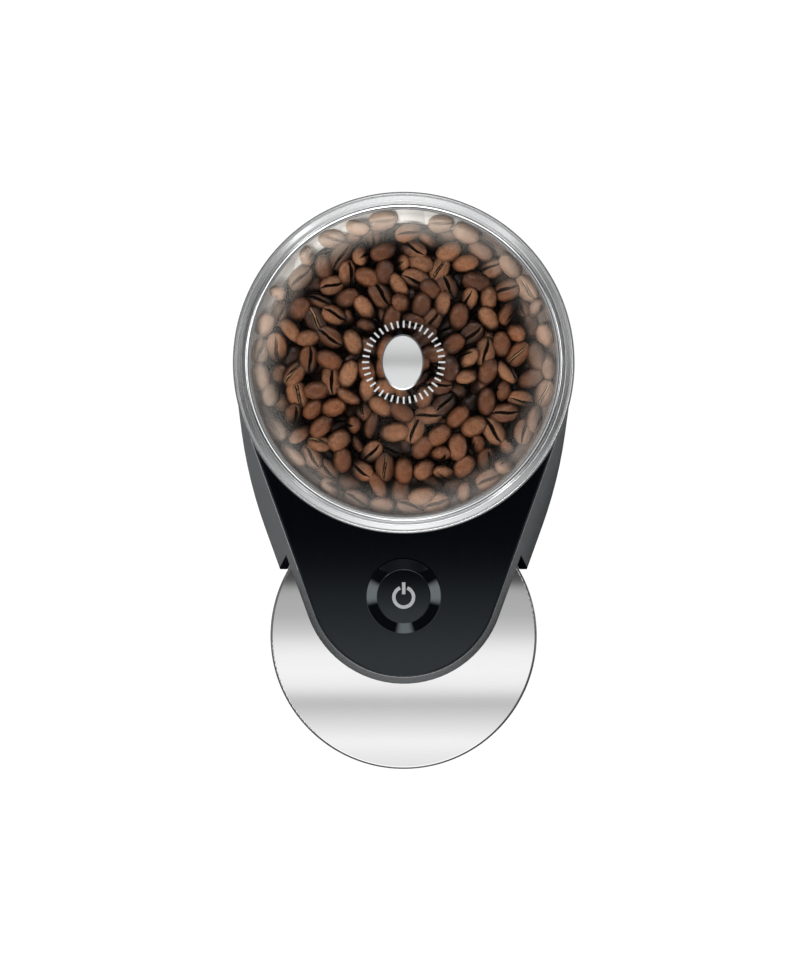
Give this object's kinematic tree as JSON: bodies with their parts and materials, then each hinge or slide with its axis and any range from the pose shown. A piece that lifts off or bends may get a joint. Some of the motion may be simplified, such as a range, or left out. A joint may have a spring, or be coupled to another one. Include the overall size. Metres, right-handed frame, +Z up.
{
  "type": "electric coffee grinder",
  "caption": "Upright electric burr coffee grinder with a clear-lidded bean hopper on top, a nose with a power button, and a lidded steel container docked beneath the nose.",
  "frame": {"origin": "middle of the footprint on the table, container docked", "axes": "+Z up, -Y towards the nose and the container, +X to the right of someone looking from above with the nose towards them"},
  "size_m": [0.1332, 0.2234, 0.2332],
  "materials": {
    "graphite_plastic": "satin",
    "gloss_black": "gloss",
    "black_plastic": "matte",
    "clear_plastic": "gloss",
    "satin_metal": "satin",
    "polished_steel": "polished",
    "black_rubber": "matte",
    "clear_silicone": "satin",
    "roasted_bean": "satin",
    "burr_steel": "ground",
    "motor_steel": "satin",
    "bronze": "satin",
    "gear_plastic": "satin",
    "case_plastic": "satin",
    "board_green": "satin",
    "carbon": "matte"
  },
  "bodies": {
    "housing": {"housing_shell": "graphite_plastic", "bay_panel": "black_plastic", "top_panel": "gloss_black", "base_cover": "black_plastic", "rubber_feet": "black_rubber", "base_screws": "burr_steel", "cord_gland": "black_rubber", "grind_chamber": "case_plastic", "exit_chute": "black_plastic", "upper_bearing": "bronze", "lower_bearing": "bronze", "gear_case": "case_plastic", "gear_cover": "case_plastic", "cluster_axle": "burr_steel", "frame_pillars": "case_plastic", "frame_screws": "burr_steel", "motor_can": "motor_steel", "motor_magnets": "carbon", "motor_brushes": "carbon", "control_board": "board_green", "push_switch": "black_plastic", "board_screws": "burr_steel"},
    "hopper": {"hopper": "clear_plastic", "hopper_ring": "satin_metal", "bean_fill": "roasted_bean", "burr_carrier": "case_plastic", "ring_burr": "burr_steel"},
    "hopper_lid": {"lid_dome": "clear_plastic", "lid_rim": "satin_metal", "lid_seal": "clear_silicone"},
    "burr_drive": {"burr_shaft": "burr_steel", "output_gear": "gear_plastic", "sweeper": "gear_plastic", "conical_burr": "burr_steel", "burr_nut": "burr_steel"},
    "cluster": {"cluster_gear": "gear_plastic"},
    "rotor": {"motor_armature": "motor_steel", "motor_pinion": "bronze"},
    "button": {"power_button": "gloss_black", "switch_plunger": "carbon"},
    "container": {"container": "polished_steel"},
    "container_lid": {"container_lid": "polished_steel", "container_seal": "clear_silicone"}
  },
  "joints": [
    {"name": "hopper_turn", "type": "hinge", "parent": "housing", "child": "hopper", "pos_m": [0, 0.0437, 0.2], "axis": [0, 0, 1], "range_deg": [-30, 30]},
    {"name": "lid_lift", "type": "slide", "parent": "hopper", "child": "hopper_lid", "axis": [0, 0, 1], "range_m": [0, 0.06]},
    {"name": "motor_spin", "type": "hinge", "parent": "housing", "child": "rotor", "pos_m": [0, 0.0437, 0.08], "axis": [0, 0, 1], "continuous": true},
    {"name": "cluster_spin", "type": "hinge", "parent": "housing", "child": "cluster", "pos_m": [0, 0.0677, 0.125], "axis": [0, 0, 1], "continuous": true},
    {"name": "burr_spin", "type": "hinge", "parent": "housing", "child": "burr_drive", "pos_m": [0, 0.0437, 0.15], "axis": [0, 0, 1], "continuous": true},
    {"name": "button_press", "type": "slide", "parent": "housing", "child": "button", "axis": [0, 0, -1], "range_m": [0, 0.0015], "stiffness_N_per_m": 1500, "springref_m": -0.0005},
    {"name": "container_slide", "type": "slide", "parent": "housing", "child": "container", "axis": [0, -1, 0], "range_m": [0, 0.12]},
    {"name": "container_lid_lift", "type": "slide", "parent": "container", "child": "container_lid", "axis": [0, 0, 1], "range_m": [0, 0.005]}
  ],
  "couplings": [
    {"joint": "cluster_spin", "follows": "motor_spin", "ratio": -0.2973},
    {"joint": "burr_spin", "follows": "motor_spin", "ratio": 0.099099}
  ]
}
